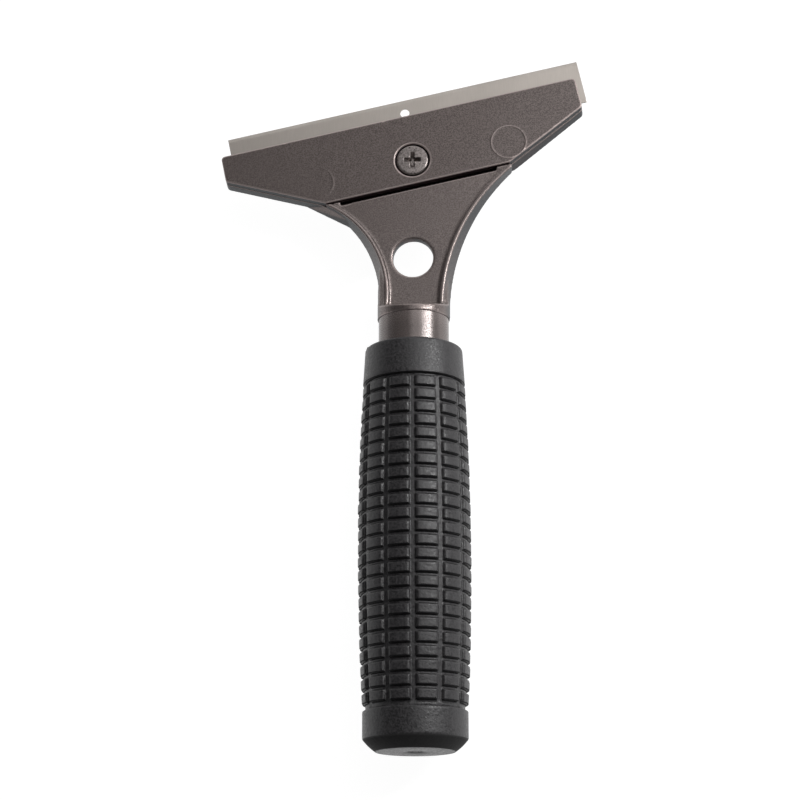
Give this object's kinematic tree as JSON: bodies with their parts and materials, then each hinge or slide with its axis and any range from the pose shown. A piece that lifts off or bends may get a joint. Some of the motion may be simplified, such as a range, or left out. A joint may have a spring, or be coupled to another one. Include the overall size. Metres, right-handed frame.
{
  "type": "floor scraper",
  "caption": "Hand-held floor scraper: angled head, screw-clamped strip blade, flared neck with hang hole, padded round rubber grip.",
  "frame": {"origin": "centre of the hang hole, on the handle's axis", "axes": "+Y along the handle towards the blade, +Z out of the clamp plate's face and along the hang hole, +X to the right seen from the front"},
  "size_m": [0.102, 0.1907, 0.0298],
  "materials": {
    "painted_casting": "satin metallic grey-brown enamel with a fine grain",
    "painted_plate": "satin metallic grey-brown enamel with a fine grain",
    "painted_tube": "semi-gloss metallic grey-brown enamel",
    "dark_screw": "dark coated steel, worn bright at the recess",
    "bright_steel": "zinc-plated steel",
    "blade_steel": "ground carbon steel",
    "grip_rubber": "matte moulded black rubber with a fine grain"
  },
  "bodies": {
    "holder": {"head_casting": "painted_casting", "handle_tube": "painted_tube", "cross_pin": "bright_steel", "clamp_nut": "bright_steel", "grip": "grip_rubber"},
    "clamp_plate": {"clamp_plate": "painted_plate"},
    "clamp_screw": {"clamp_screw": "dark_screw"},
    "scraper_blade": {"scraper_blade": "blade_steel"}
  },
  "joints": [
    {"name": "plate_lift", "type": "slide", "parent": "holder", "child": "clamp_plate", "axis": [0, 0, 1], "range_m": [0, 0.0032]},
    {"name": "screw_turn", "type": "hinge", "parent": "clamp_plate", "child": "clamp_screw", "pos_m": [0, 0.0285, 0], "axis": [0, 0, 1], "range_deg": [0, 1440]},
    {"name": "blade_slide", "type": "slide", "parent": "holder", "child": "scraper_blade", "axis": [-0.2028, 0.9792, 0], "range_m": [0, 0.013]}
  ],
  "couplings": [
    {"joint": "screw_turn", "follows": "plate_lift", "rad_per_m": 7854}
  ]
}
